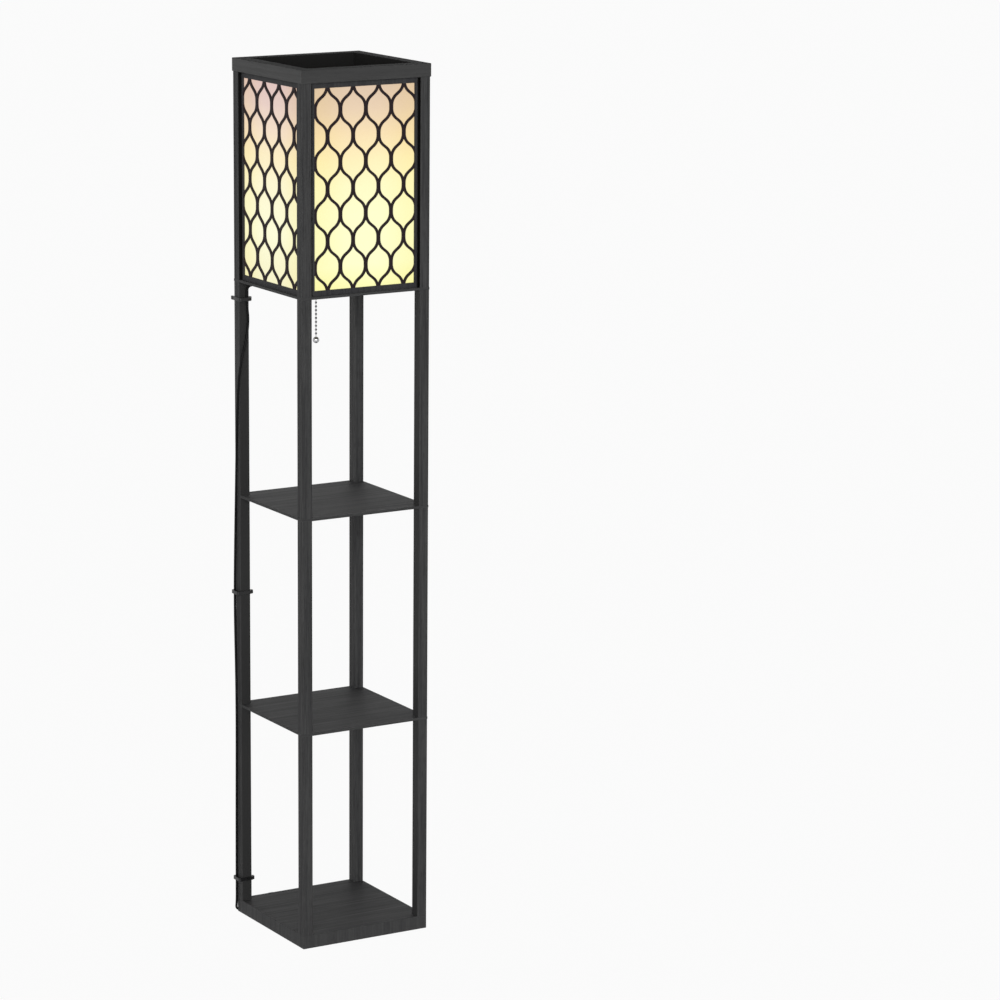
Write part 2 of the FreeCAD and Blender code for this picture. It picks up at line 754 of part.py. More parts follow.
# ---- ties ---------------------------------------------------------------------------------------
def band(x0, y0, x1, y1, z0, z1, corner, thickness):
    """A strap round a rectangle, with rounded corners."""
    inner = eased(block(x0, y0, z0, x1, y1, z1), corner, upright)
    outer = block(x0 - thickness, y0 - thickness, z0, x1 + thickness, y1 + thickness, z1)
    return eased(outer, corner + thickness, upright).cut(inner)


post_x, post_y = -half, half  # outer faces of the back left post
ties = []
for level in tie_levels:
    x0, y0 = post_x - tie_clearance, post_y - post_side - tie_clearance
    x1, y1 = post_x + post_side + tie_clearance, post_y + tie_clearance
    head_y = y0
    if level > upper_shelf_z:  # the cord is on the post's front face here
        y0 = post_y - post_side - 2 * cord_radius - 2 * tie_clearance
    else:
        x0 = post_x - 2 * cord_radius - 3 * tie_clearance
        y1 = post_y + 2 * tie_clearance
    z0, z1 = level - tie_height / 2, level + tie_height / 2
    tie = band(x0, y0, x1, y1, z0, z1, tie_corner, tie_thickness)
    head_x = x1 + tie_thickness
    head = block(head_x - tie_thickness / 2, head_y, level - tie_head[2] / 2,
                 head_x + tie_head[0], head_y + tie_head[1], level + tie_head[2] / 2)
    head = eased(head, tie_head_edge, lambda e: True)
    ties.append(tie.fuse(head).removeSplitter())
save("cord_ties", Part.makeCompound(ties))

waist_low = hank_middle - (least + hank_step) + hank_draw - cord_radius - hank_tie_gap
waist_high = hank_middle + least + hank_step / 2 - hank_draw + cord_radius + hank_tie_gap
tie_low = hank_lift - hank_tie_gap
tie_high = 2 * cord_radius + hank_layer + hank_lift + hank_tie_gap
wrap = band(waist_low, tie_low, waist_high, tie_high, hank_x - hank_tie_width / 2, hank_x + hank_tie_width / 2,
            hank_tie_corner, hank_tie_thickness)
wrap.rotate(V(0, 0, 0), V(1, 1, 1), 120)  # X to Y, Y to Z and Z to X
save("hank_tie", wrap)
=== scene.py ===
# Shelf floor lamp: its finishes, its cord at real length, its small fittings and its light.
# Metres, +Z up. The origin is the middle of the base's underside. Front is -Y, left is -X.
import math

import bmesh
import bpy
from mathutils import Matrix, Vector


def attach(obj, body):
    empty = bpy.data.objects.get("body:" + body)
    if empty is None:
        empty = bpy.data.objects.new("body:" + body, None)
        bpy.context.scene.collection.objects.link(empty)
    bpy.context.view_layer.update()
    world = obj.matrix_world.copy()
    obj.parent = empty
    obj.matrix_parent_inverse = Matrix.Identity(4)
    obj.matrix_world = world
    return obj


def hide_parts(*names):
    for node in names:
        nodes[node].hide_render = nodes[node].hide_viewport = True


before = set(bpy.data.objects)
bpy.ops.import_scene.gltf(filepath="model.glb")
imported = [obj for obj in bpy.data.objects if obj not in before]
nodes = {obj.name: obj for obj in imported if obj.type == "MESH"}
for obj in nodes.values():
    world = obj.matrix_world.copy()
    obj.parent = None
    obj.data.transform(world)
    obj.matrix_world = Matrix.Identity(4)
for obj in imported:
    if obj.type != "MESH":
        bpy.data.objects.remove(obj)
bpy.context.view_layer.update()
scene = bpy.context.scene

# ---- view -----------------------------------------------------------------------------------
# A long lens a little above the lamp and to its left. The lamp stands left of the middle,
# so the lens is shifted sideways and stays level.
camera_data = bpy.data.cameras.new("camera")
camera_data.sensor_width = 36
camera_data.lens = 140.99
camera_data.shift_x = 0.1576
camera_data.clip_end = 100
camera = bpy.data.objects.new("camera", camera_data)
camera.location = (-3.3698, -6.1082, 2.3019)
camera.rotation_euler = (math.radians(77.847), 0, math.radians(-29.053))
scene.collection.objects.link(camera)
scene.camera = camera

# ---- mains cord -----------------------------------------------------------------------------
# A round black cord, 4.5 mm thick, in one piece from the lampholder to the plug. It runs down
# the back left post, and the rest of it is folded into a hank on the floor behind the base.
cord_radius = 0.00225
grip_tip = Vector((-0.021426, 0.021426, 1.214))
hank_x, hank_near, hank_half_run = -0.041, 0.13255, 0.044
hank_low, hank_layer, hank_lift, hank_draw = cord_radius, 0.00525, 0.0013, 0.007
hank_middle = 0.15255
hank_lanes = [-0.0200, 0.0174, -0.0148, 0.0122, -0.0148, 0.0174, -0.0200]
first_upper_run = 3  # this run climbs, and the later ones lie on the first ones
fold_step = 30  # degrees between the points of a fold
cord_route = [
    grip_tip,
    (grip_tip.x - 0.0104, grip_tip.y + 0.0104, grip_tip.z),
    (-0.045, 0.0443, 1.2092),
    (-0.06, 0.0596, 1.1994),
    (-0.0725, 0.0712, 1.1936),
    (-0.0845, 0.0813, 1.1914),
    (-0.097, 0.0904, 1.191),
    (-0.1102, 0.1022, 1.1903),
    (-0.1152, 0.1071, 1.1832),
    (-0.1156, 0.1072, 1.166),
    (-0.1143, 0.1071, 1.148),
    (-0.1126, 0.1069, 1.131),
    (-0.1132, 0.1068, 1.114),
    (-0.1158, 0.1068, 1.097),
    (-0.1196, 0.1067, 1.08),
    (-0.1248, 0.1066, 1.062),
    (-0.1294, 0.1063, 1.043),
    (-0.1321, 0.1074, 1.02),
    (-0.1325, 0.1102, 0.994),
    (-0.13255, 0.1132, 0.96),
    (-0.13255, 0.1158, 0.918),
    (-0.1325, 0.118, 0.868),
    (-0.1324, 0.1204, 0.812),
    (-0.13235, 0.123, 0.756),
    (-0.1324, 0.1252, 0.699),
    (-0.1325, 0.1271, 0.643),
    (-0.1326, 0.1275, 0.586),
    (-0.13255, 0.126, 0.529),
    (-0.13245, 0.1242, 0.471),
    (-0.13235, 0.1234, 0.413),
    (-0.1323, 0.1235, 0.354),
    (-0.1323, 0.1243, 0.295),
    (-0.13235, 0.1251, 0.236),
    (-0.1324, 0.1258, 0.178),
    (-0.13235, 0.1265, 0.122),
    (-0.1323, 0.1269, 0.084),
    (-0.1323, 0.127, 0.05),
    (-0.132, 0.1278, 0.02),
    (-0.1316, 0.1319, cord_radius),
    (-0.113, 0.1345, cord_radius),
    (-0.103, hank_near, hank_low),
]
level = hank_low
for turn, lane in enumerate(hank_lanes):
    heading = 1 if turn % 2 == 0 else -1
    drawn = lane + (hank_draw if lane < 0 else -hank_draw)
    end_level = hank_low + hank_layer if turn >= first_upper_run else hank_low
    waist_level = (level + end_level) / 2 + hank_lift
    quarter = hank_half_run / 4
    for along, across, height in (
        (-3 * quarter, lane, level),
        (-quarter, drawn, waist_level),
        (quarter, drawn, waist_level),
        (3 * quarter, lane, end_level),
    ):
        cord_route.append((hank_x + heading * along, hank_middle + across, height))
    level = end_level
    if turn + 1 < len(hank_lanes):
        fold_middle = (lane + hank_lanes[turn + 1]) / 2
        fold_radius = abs(lane - hank_lanes[turn + 1]) / 2
        fold_side = 1 if lane < 0 else -1
        reach = fold_radius / math.cos(math.radians(fold_step / 2))
        for angle in range(-75, 90, fold_step):
            out = reach * math.cos(math.radians(angle))
            over = reach * math.sin(math.radians(angle))
            along = hank_x + heading * (hank_half_run + out)
            across = hank_middle + fold_middle + fold_side * over
            cord_route.append((along, across, level))
plug_start = Vector((0.0435, 0.14115, hank_low + hank_layer))
cord_route += [
    (hank_x + hank_half_run + 0.009, hank_near, plug_start.z),
    (hank_x + hank_half_run + 0.027, plug_start.y, plug_start.z),
    plug_start,
]
cord_curve = bpy.data.curves.new("cord", "CURVE")
cord_curve.dimensions = "3D"
cord_curve.bevel_depth = cord_radius
cord_curve.bevel_resolution = 5
cord_curve.resolution_u = 8
cord_curve.use_fill_caps = True
spline = cord_curve.splines.new("NURBS")
spline.points.add(len(cord_route) - 1)
for point, place in zip(spline.points, cord_route):
    point.co = (*place, 1)
spline.order_u = 3
spline.use_endpoint_u = True
cord = bpy.data.objects.new("cord", cord_curve)
scene.collection.objects.link(cord)


def add(tree, kind, inputs=None, **options):
    """One shader node with its options and inputs, which are values or other nodes' outputs."""
    made = tree.nodes.new("ShaderNode" + kind)
    for option, value in options.items():
        setattr(made, option, value)
    for socket, value in (inputs or {}).items():
        if isinstance(value, bpy.types.NodeSocket):
            tree.links.new(value, made.inputs[socket])
        else:
            made.inputs[socket].default_value = value
    return made


def tone(red, green, blue):
    """A colour as the shader takes it, from the values that it has on a screen."""
    shares = [c / 255 for c in (red, green, blue)]
    return (*[c / 12.92 if c <= 0.04 else ((c + 0.055) / 1.055) ** 2.4 for c in shares], 1)


def new_finish(name, colour, roughness, **sockets):
    """A finish of one colour, to be worked up. Further sockets have spaces for underscores."""
    material = bpy.data.materials.new(name)
    material.use_nodes = True
    shader = material.node_tree.nodes["Principled BSDF"]
    shader.inputs["Base Color"].default_value = colour
    shader.inputs["Roughness"].default_value = roughness
    for socket, value in sockets.items():
        shader.inputs[socket.replace("_", " ")].default_value = value
    return material, material.node_tree, shader


def grained(tree, shader, size, depth, strength=0.3, spread=None):
    """A fine pebbled skin of that grain size, with spread as the range of its roughness."""
    place = add(tree, "TexCoord").outputs["Object"]
    noise = add(tree, "TexNoise", {"Vector": place, "Scale": 1 / size, "Detail": 3.0}).outputs["Fac"]
    bump = add(tree, "Bump", {"Height": noise, "Strength": strength, "Distance": depth})
    tree.links.new(bump.outputs["Normal"], shader.inputs["Normal"])
    if spread:
        slow = add(tree, "TexNoise", {"Vector": place, "Scale": 0.08 / size,
                                      "Detail": 2.0}).outputs["Fac"]
        varied = add(tree, "MapRange", {"Value": slow, "From Min": 0.3, "From Max": 0.7,
                                        "To Min": spread[0], "To Max": spread[1]})
        tree.links.new(varied.outputs["Result"], shader.inputs["Roughness"])


sheath, tree, shader = new_finish("cord sheath", tone(6, 6, 7), 0.5, Specular_IOR_Level=0.1)
grained(tree, shader, 0.0012, 0.00004, spread=(0.45, 0.56))
cord_curve.materials.append(sheath)
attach(cord, "root")
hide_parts("cord_run", "cord_hank")

# ---- wooden frame ---------------------------------------------------------------------------
# Base, posts, shelves and shade floor of wood-based board, covered in black foil with a fine
# embossed grain that runs the long way of each piece.
AXES = {"X": 0, "Y": 1, "Z": 2}
grain_scale = 0.028  # along the grain a pattern is drawn out to 1 / 0.028 of its size
post_inner = 0.1101  # just outside the posts' inner faces, from the middle of the lamp


def along_grain(tree, place, axis, shift=0.0):
    """Coordinates drawn out along one axis, so that a pattern on them runs that way."""
    scale = [1.0, 1.0, 1.0]
    scale[AXES[axis]] = grain_scale
    inputs = {"Vector": place, "Scale": scale, "Location": (shift, shift, shift)}
    return add(tree, "Mapping", inputs).outputs[0]


def ramp(tree, factor, *stops):
    """A colour ramp through (position, colour) stops."""
    made = add(tree, "ValToRGB", {"Fac": factor})
    elements = made.color_ramp.elements
    while len(elements) < len(stops):
        elements.new(0.5)
    for element, (position, colour) in zip(elements, stops):
        element.position = position
        element.color = colour
    return made.outputs["Color"]


def math_step(tree, operation, first, second=0.5, clamp=False):
    """One step of arithmetic on two values."""
    return add(tree, "Math", {0: first, 1: second}, operation=operation, use_clamp=clamp).outputs[0]


def mixed(tree, factor, first, second, kind="MIX"):
    """Two colours mixed by a factor."""
    inputs = {0: factor, 6: first, 7: second}
    return add(tree, "Mix", inputs, data_type="RGBA", blend_type=kind).outputs[2]


def black_wood(name, axis, shift=0.0, side_axis=None, dark=(45, 45, 46), light=(71, 71, 71),
               painted_recess_shade=None, shine=0.12, painted_top_shade=None, open_pores=0.6):
    """Black foil with grain along axis. side_axis is its run on the upright faces, if another.
    Painted shade darkens the inner faces, nearer to the lamp's axis than a limit by the smaller or
    larger of x and y, with a measure, limit and colour, and the faces that look up, with a colour."""
    material, tree, shader = new_finish(name, tone(56, 56, 56), 0.6, Specular_IOR_Level=shine)
    place = add(tree, "TexCoord").outputs["Object"]
    run = along_grain(tree, place, axis, shift)
    normal = add(tree, "NewGeometry").outputs["True Normal"]
    upward = add(tree, "SeparateXYZ", {0: normal}).outputs["Z"]
    facing_up = math_step(tree, "GREATER_THAN", math_step(tree, "ABSOLUTE", upward), 0.6)
    if side_axis:
        side_run = along_grain(tree, place, side_axis, shift)
        run = add(tree, "Mix", {0: facing_up, 4: side_run, 5: run}, data_type="VECTOR").outputs[1]
    figure = add(tree, "TexNoise", {"Vector": run, "Scale": 190.0, "Detail": 4.0,
                                    "Roughness": 0.6, "Distortion": 0.4}).outputs["Fac"]
    fibre = add(tree, "TexNoise", {"Vector": run, "Scale": 820.0, "Detail": 3.0,
                                   "Roughness": 0.6}).outputs["Fac"]
    pores = add(tree, "TexNoise", {"Vector": run, "Scale": 1500.0, "Detail": 1.0}).outputs["Fac"]
    pore = add(tree, "MapRange", {"Value": pores, "From Min": 0.60, "From Max": 0.68}).outputs["Result"]
    both = math_step(tree, "ADD", math_step(tree, "MULTIPLY", figure, 0.65),
                     math_step(tree, "MULTIPLY", fibre, 0.35))
    colour = ramp(tree, both, (0.34, tone(*dark)), (0.66, tone(*light)))
    colour = mixed(tree, math_step(tree, "MULTIPLY", pore, open_pores), colour, tone(20, 20, 20))
    # Painted shade: the inner faces take a darker colour by position.
    if painted_recess_shade:
        parts = add(tree, "SeparateXYZ", {0: place}).outputs
        measure, limit, painted_shade_tone = painted_recess_shade
        nearest = math_step(tree, measure, math_step(tree, "ABSOLUTE", parts["X"]),
                            math_step(tree, "ABSOLUTE", parts["Y"]))
        colour = mixed(tree, math_step(tree, "LESS_THAN", nearest, limit), colour, tone(*painted_shade_tone))
    # Painted shade: the faces that look up take a darker colour.
    if painted_top_shade:
        colour = mixed(tree, facing_up, colour, tone(*painted_top_shade))
    tree.links.new(colour, shader.inputs["Base Color"])
    height = math_step(tree, "SUBTRACT", both, math_step(tree, "MULTIPLY", pore, 0.5))
    bump = add(tree, "Bump", {"Height": height, "Strength": 0.35, "Distance": 0.0002})
    tree.links.new(bump.outputs["Normal"], shader.inputs["Normal"])
    sheen = add(tree, "MapRange", {"Value": figure, "From Min": 0.3, "From Max": 0.7,
                                   "To Min": 0.68, "To Max": 0.54})
    tree.links.new(sheen.outputs["Result"], shader.inputs["Roughness"])
    return material


def dress(material, *names):
    """Gives CAD nodes a finish."""
    for name in names:
        nodes[name].data.materials.clear()
        nodes[name].data.materials.append(material)


# The inner faces that the light hardly reaches get painted shade: darker tones by position.
corners = ("front_left", "front_right", "back_left", "back_right")
painted_shade_tones = {"front_right": (46, 46, 46), "back_left": (43, 43, 43)}
for count, tier in enumerate(("lower", "middle", "upper", "shade")):
    for number, corner in enumerate(corners):
        # Painted shade: near black on the inner faces in the shade's slots, darker grey on two posts
        # below.
        inner = (6, 6, 6) if tier == "shade" else painted_shade_tones.get(corner)
        post_wood = black_wood(f"{tier} {corner} post", "Z", shift=0.31 * count + 0.07 * number,
                               painted_recess_shade=("MINIMUM", post_inner, inner) if inner else None)
        dress(post_wood, f"{tier}_post_{corner}")
board_tones = {"dark": (53, 53, 54), "light": (68, 68, 68), "open_pores": 0.25}
dress(black_wood("base board", "X", side_axis="Z", **board_tones), "base_board")
dress(black_wood("shelf boards", "X", shift=0.4, **board_tones),
      "lower_shelf", "upper_shelf", "shade_floor")

# ---- collar ---------------------------------------------------------------------------------
# Four mitred boards round the top. Their foil is smoother than the posts', with a grain that
# hardly shows, along each board. The greys of its faces are painted light and shade: the left and
# right boards lighter than the front and back, the tops darker, the inner faces darker still.
collar_inner = 0.1057  # just outside the collar's inner faces, from the middle of the lamp
for side in ("front", "back", "left", "right"):
    axis, painted_light_grey = ("X", 67) if side in ("front", "back") else ("Y", 86)
    collar_wood = black_wood(f"collar {side}", axis, shift=0.9, dark=(painted_light_grey - 4,) * 3,
                             light=(painted_light_grey + 4,) * 3, painted_recess_shade=("MAXIMUM", collar_inner, (32, 32, 32)),
                             shine=0.01, painted_top_shade=(55, 55, 55), open_pores=0.1)
    dress(collar_wood, "collar_" + side)

# ---- lattice --------------------------------------------------------------------------------
# Thin board, cut through into a net of wavy strands. The strands are a warm near-black, and
# the border round them has the foil of the frame. Its side edges in the slots beside the posts
# are painted shade, near black.
glow_half, glow_low, glow_top = 0.1013, 1.2095, 1.5662
slot_shade_half = 0.1060  # beyond it are the side edges, dark in the slots beside the posts


def lattice_finish(name, across):
    """The finish of a lattice, with its width along the axis named by across."""
    material, tree, shader = new_finish(name, tone(30, 22, 25), 0.6, Specular_IOR_Level=0.15)
    place = add(tree, "TexCoord").outputs["Object"]
    parts = add(tree, "SeparateXYZ", {0: place})
    sideways = math_step(tree, "ABSOLUTE", parts.outputs[across])
    inside = math_step(tree, "LESS_THAN", sideways, glow_half)
    above = math_step(tree, "GREATER_THAN", parts.outputs["Z"], glow_low)
    below = math_step(tree, "LESS_THAN", parts.outputs["Z"], glow_top)
    inside = math_step(tree, "MULTIPLY", math_step(tree, "MULTIPLY", inside, above), below)
    fleck = add(tree, "TexNoise", {"Vector": place, "Scale": 900.0, "Detail": 4.0}).outputs["Fac"]
    strand = ramp(tree, fleck, (0.35, tone(25, 17, 20)), (0.65, tone(37, 27, 30)))
    run = along_grain(tree, place, "Z")
    figure = add(tree, "TexNoise", {"Vector": run, "Scale": 300.0, "Detail": 4.0}).outputs["Fac"]
    border = ramp(tree, figure, (0.34, tone(42, 42, 44)), (0.66, tone(54, 54, 55)))
    # Painted shade: the side edges in the slots beside the posts are near black.
    border = mixed(tree, math_step(tree, "GREATER_THAN", sideways, slot_shade_half), border, tone(6, 6, 6))
    tree.links.new(mixed(tree, inside, border, strand), shader.inputs["Base Color"])
    bump = add(tree, "Bump", {"Height": fleck, "Strength": 0.25, "Distance": 0.0001})
    tree.links.new(bump.outputs["Normal"], shader.inputs["Normal"])
    return material


lattice_x, lattice_y = lattice_finish("lattice front", "X"), lattice_finish("lattice side", "Y")
dress(lattice_x, "grille_front", "grille_back")
dress(lattice_y, "grille_left", "grille_right")

# ---- screens --------------------------------------------------------------------------------
# A translucent sheet behind each lattice, with a painted glow in place of the bulb's light through
# it: yellow and brightest low down, and rosy towards the top, a little paler on the left and right
# than on the front and back. Beyond the glowing field the sheets are painted shade, near black.
sheet_middle = 0.1209  # halfway through each sheet, from the middle of the lamp
reflected = 0.6  # how bright a sheet's own colour shows under this studio's light


def painted_glow_sheet(name, across, through, *stops):
    """stops are (height, colour) up the field of painted glow, which stands in for the bulb's
    light; what the sheet reflects is taken off them.
    The inner face, nearer to the lamp's axis along through, glows much less."""
    own = (0.15, 0.143, 0.12, 1)
    material, tree, shader = new_finish(name, own, 0.8, Specular_IOR_Level=0.15, Emission_Strength=1.0)
    place = add(tree, "TexCoord").outputs["Object"]
    parts = add(tree, "SeparateXYZ", {0: place})
    fibres = add(tree, "TexNoise", {"Vector": place, "Scale": 700.0, "Detail": 5.0,
                                    "Roughness": 0.7}).outputs["Fac"]
    clouds = add(tree, "TexNoise", {"Vector": place, "Scale": 16.0, "Detail": 2.0}).outputs["Fac"]
    height = math_step(tree, "ADD", parts.outputs["Z"], math_step(tree, "MULTIPLY", clouds, 0.02))
    share = add(tree, "MapRange", {"Value": height, "From Min": glow_low + 0.01,
                                   "From Max": glow_top + 0.01})
    lit = []
    for z, colour in stops:
        left = [max(c - reflected * o, 0) for c, o in zip(tone(*colour)[:3], own)]
        lit.append(((z - glow_low) / (glow_top - glow_low), (*left, 1)))
    glow = ramp(tree, share.outputs["Result"], *lit)
    sideways = math_step(tree, "ABSOLUTE", parts.outputs[across])
    edge = add(tree, "MapRange", {"Value": sideways, "From Min": 0.02, "From Max": glow_half},
               interpolation_type="SMOOTHSTEP").outputs["Result"]
    # The painted glow grows dimmer and yellower towards the sides.
    glow = mixed(tree, math_step(tree, "MULTIPLY", edge, 0.8), glow, (0.97, 0.94, 0.74, 1), "MULTIPLY")
    speckle = ramp(tree, fibres, (0.3, (0.95, 0.95, 0.94, 1)), (0.7, (1.02, 1.02, 1.02, 1)))
    glow = mixed(tree, 1.0, glow, speckle, "MULTIPLY")
    # Beyond the glowing field the painted glow stops.
    inside = math_step(tree, "LESS_THAN", sideways, glow_half + 0.0005)
    glow = mixed(tree, inside, (0, 0, 0, 1), glow)
    # The inner face keeps only a fifth of the painted glow.
    depth = math_step(tree, "ABSOLUTE", parts.outputs[through])
    outer = math_step(tree, "GREATER_THAN", depth, sheet_middle)
    glow = mixed(tree, outer, mixed(tree, 0.8, glow, (0, 0, 0, 1)), glow)
    tree.links.new(glow, shader.inputs["Emission Color"])
    # Beyond the glowing field the sheet's colour is painted shade, near black.
    tree.links.new(mixed(tree, inside, tone(6, 6, 6), own), shader.inputs["Base Color"])
    bump = add(tree, "Bump", {"Height": fibres, "Strength": 0.2, "Distance": 0.0001})
    tree.links.new(bump.outputs["Normal"], shader.inputs["Normal"])
    return material


front_sheet = painted_glow_sheet(
    "screen front", "X", "Y",
    (1.2095, (250, 249, 178)), (1.2507, (253, 253, 202)), (1.3430, (253, 252, 202)),
    (1.3890, (254, 248, 196)), (1.4355, (253, 238, 185)), (1.4817, (245, 221, 177)),
    (1.5279, (230, 204, 174)), (1.5662, (219, 193, 168)),
)
side_sheet = painted_glow_sheet(
    "screen side", "Y", "X",
    (1.2095, (248, 243, 202)), (1.2969, (253, 252, 217)), (1.3430, (253, 250, 214)),
    (1.3890, (253, 246, 210)), (1.4355, (252, 237, 197)), (1.4817, (244, 222, 200)),
    (1.5279, (230, 205, 196)), (1.5662, (223, 195, 190)),
)
dress(front_sheet, "screen_front", "screen_back")
dress(side_sheet, "screen_left", "screen_right")

# ---- screen frames --------------------------------------------------------------------------
# Slim wooden frames that press the sheets against the lattices from inside, stained black. The
# dowels between the collar and the posts are plain wood. The photo shows neither.
for side in ("front", "back", "left", "right"):
    stained = black_wood(f"frame {side}", "Z", shift=1.3, dark=(30, 29, 29), light=(48, 47, 46))
    dress(stained, "screen_frame_" + side)
dress(black_wood("dowel wood", "Z", dark=(110, 88, 60), light=(150, 122, 86)), "collar_dowels")

# ---- lampholder -----------------------------------------------------------------------------
# A steel bar over the floor opening, painted black, with plated screws, nut and threaded
# nipple. On it stands the lampholder: a moulded cap, shell and pull switch round a brass shell.
bar_paint, tree, shader = new_finish("bar paint", tone(34, 34, 35), 0.38)
grained(tree, shader, 0.0009, 0.00005, spread=(0.32, 0.46))
dress(bar_paint, "socket_bar")
plated, tree, shader = new_finish("zinc plate", tone(178, 180, 182), 0.32, Metallic=1.0)
grained(tree, shader, 0.0008, 0.00003, spread=(0.24, 0.42))
dress(plated, "bar_screws", "nipple_nut", "base_screws", "post_studs")
threaded, tree, shader = new_finish("threaded zinc", tone(172, 174, 176), 0.35, Metallic=1.0)
thread_pitch = 0.001
place = add(tree, "TexCoord").outputs["Object"]
thread = add(tree, "TexWave", {"Vector": place, "Scale": 1 / thread_pitch / math.tau * 2,
                               "Distortion": 0.0},
             bands_direction="Z", wave_profile="TRI").outputs["Fac"]
bump = add(tree, "Bump", {"Height": thread, "Strength": 0.8, "Distance": 0.0003})
tree.links.new(bump.outputs["Normal"], shader.inputs["Normal"])
dress(threaded, "socket_nipple")
moulded, tree, shader = new_finish("moulded black", tone(30, 30, 31), 0.36)
grained(tree, shader, 0.0007, 0.00004, spread=(0.3, 0.42))
dress(moulded, "socket_cap", "socket_shell", "switch_body")
brass, tree, shader = new_finish("brass", tone(214, 178, 104), 0.28, Metallic=1.0)
grained(tree, shader, 0.0011, 0.00003, spread=(0.2, 0.36))
dress(brass, "screw_shell", "plug_blades")

# ---- bulb -----------------------------------------------------------------------------------
# A frosted globe that glows warm, on a threaded aluminium cap. The glow is weakest at the neck.
# The shade hides it in the photo, where only its light is seen.
bulb_low, bulb_top = 1.258, 1.342
cap_metal, tree, shader = new_finish("bulb cap", tone(205, 206, 208), 0.3, Metallic=1.0)
grained(tree, shader, 0.001, 0.00003, spread=(0.22, 0.38))
dress(cap_metal, "bulb_cap")
frosted, tree, shader = new_finish("frosted glass", (0.85, 0.8, 0.7, 1), 0.35, Emission_Strength=1.0)
parts = add(tree, "SeparateXYZ", {0: add(tree, "TexCoord").outputs["Object"]})
up_glass = add(tree, "MapRange", {"Value": parts.outputs["Z"], "From Min": bulb_low,
                                  "From Max": bulb_top})
glow = ramp(tree, up_glass.outputs["Result"],
            (0.0, (0.5, 0.34, 0.16, 1)), (0.35, (1.0, 0.86, 0.6, 1)),
            (0.75, (1.0, 0.93, 0.76, 1)), (1.0, (0.95, 0.84, 0.62, 1)))
tree.links.new(glow, shader.inputs["Emission Color"])
dress(frosted, "bulb_glass")

# ---- pull chain -----------------------------------------------------------------------------
# Nickel beads on a wire, with a larger ball at the end. The beads, of the same nickel as the
# ball, are given a darker tone: painted shade.
bead_end = 1.1045  # between the lowest bead and the ball
nickel, tree, shader = new_finish("bright nickel", tone(112, 112, 114), 0.16, Metallic=1.0)
up_chain = add(tree, "SeparateXYZ", {0: add(tree, "TexCoord").outputs["Object"]}).outputs["Z"]
# Painted shade: the beads take a darker tone than the ball.
on_beads = math_step(tree, "GREATER_THAN", up_chain, bead_end)
chain_painted_shade = mixed(tree, on_beads, tone(178, 178, 180), tone(106, 106, 108))
tree.links.new(chain_painted_shade, shader.inputs["Base Color"])
grained(tree, shader, 0.002, 0.00001, spread=(0.12, 0.22))
dress(nickel, "chain_top", "chain_middle", "chain_lower")

# ---- cord ties ------------------------------------------------------------------------------
# Three moulded straps hold the cord to the post. Each runs round both, through a ratchet head
# on the right of the post, with a cut-off tail.
post_face, post_back = 0.1293, 0.1098
strap_fit, strap_thickness, strap_height, strap_corner = 0.0005, 0.0021, 0.0064, 0.0012
tie_levels = (1.1641, 0.6174, 0.0671)
head_front, head_back, head_half = 0.1093, 0.1153, 0.0036
head_inset, head_reach, head_rounding = 0.0010, 0.0033, 0.0008
tail_front, tail_back, tail_half, tail_thickness = 0.1083, 0.1163, 0.0023, 0.0012
tail_gap, tail_rounding = 0.0005, 0.0002
knuckle_low, knuckle_high, knuckle_half = (-0.1322, 0.1305), (-0.1275, 0.1372), 0.0034
knuckle_rounding = 0.0006
ties = bmesh.new()


def sharp_box(mesh, low, high):
    """A box between two corners. Returns its vertices, its middle and its size."""
    made = bmesh.ops.create_cube(mesh, size=1.0)["verts"]
    centre = [(a + b) / 2 for a, b in zip(low, high)]
    size = [b - a for a, b in zip(low, high)]
    bmesh.ops.transform(mesh, matrix=Matrix.LocRotScale(centre, None, size), verts=made)
    return made, centre, size


def add_box(mesh, low, high, rounding, segments=2):
    """A box between two corners with rounded edges."""
    made = sharp_box(mesh, low, high)[0]
    edges = {edge for vert in made for edge in vert.link_edges}
    bmesh.ops.bevel(mesh, geom=list(edges), offset=rounding, segments=segments, profile=0.5,
                    affect="EDGES", material=-1)


def add_strap(mesh, low, high, corner, thickness):
    """A closed strap round a box, with its inner face on the box and its axis along Z."""
    made, centre, size = sharp_box(mesh, low, high)
    faces = {face for vert in made for face in vert.link_faces}
    ends = [face for face in faces if abs(face.calc_center_median().z - centre[2]) > size[2] / 4]
    bmesh.ops.delete(mesh, geom=ends, context="FACES_ONLY")
    upright = {edge for vert in made for edge in vert.link_edges
               if abs(edge.verts[0].co.z - edge.verts[1].co.z) > size[2] / 2}
    bmesh.ops.bevel(mesh, geom=list(upright), offset=corner, segments=5, profile=0.5,
                    affect="EDGES", material=-1)
    wall = [face for face in mesh.faces if len(face.verts) == 4 and all(
        low[k] - 1e-5 < vert.co[k] < high[k] + 1e-5 for vert in face.verts for k in range(3))]
    bmesh.ops.recalc_face_normals(mesh, faces=wall)
    outward = sum((face.normal.x * (face.calc_center_median().x - centre[0])
                   + face.normal.y * (face.calc_center_median().y - centre[1])) for face in wall)
    if outward < 0:
        bmesh.ops.reverse_faces(mesh, faces=wall)
    bmesh.ops.solidify(mesh, geom=wall, thickness=-thickness)


def new_piece(name, mesh, finish, slot, *stands_for):
    """A mesh as an object of the lamp's body, with its finish."""
    bmesh.ops.recalc_face_normals(mesh, faces=mesh.faces)
    data = bpy.data.meshes.new(name)
    mesh.to_mesh(data)
    mesh.free()
    data.materials.append(finish)
    for face in data.polygons:
        face.use_smooth = True
    data.set_sharp_from_angle(angle=math.radians(40))
    piece = bpy.data.objects.new(name, data)
    scene.collection.objects.link(piece)
    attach(piece, "root")
    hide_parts(*stands_for)
    return piece


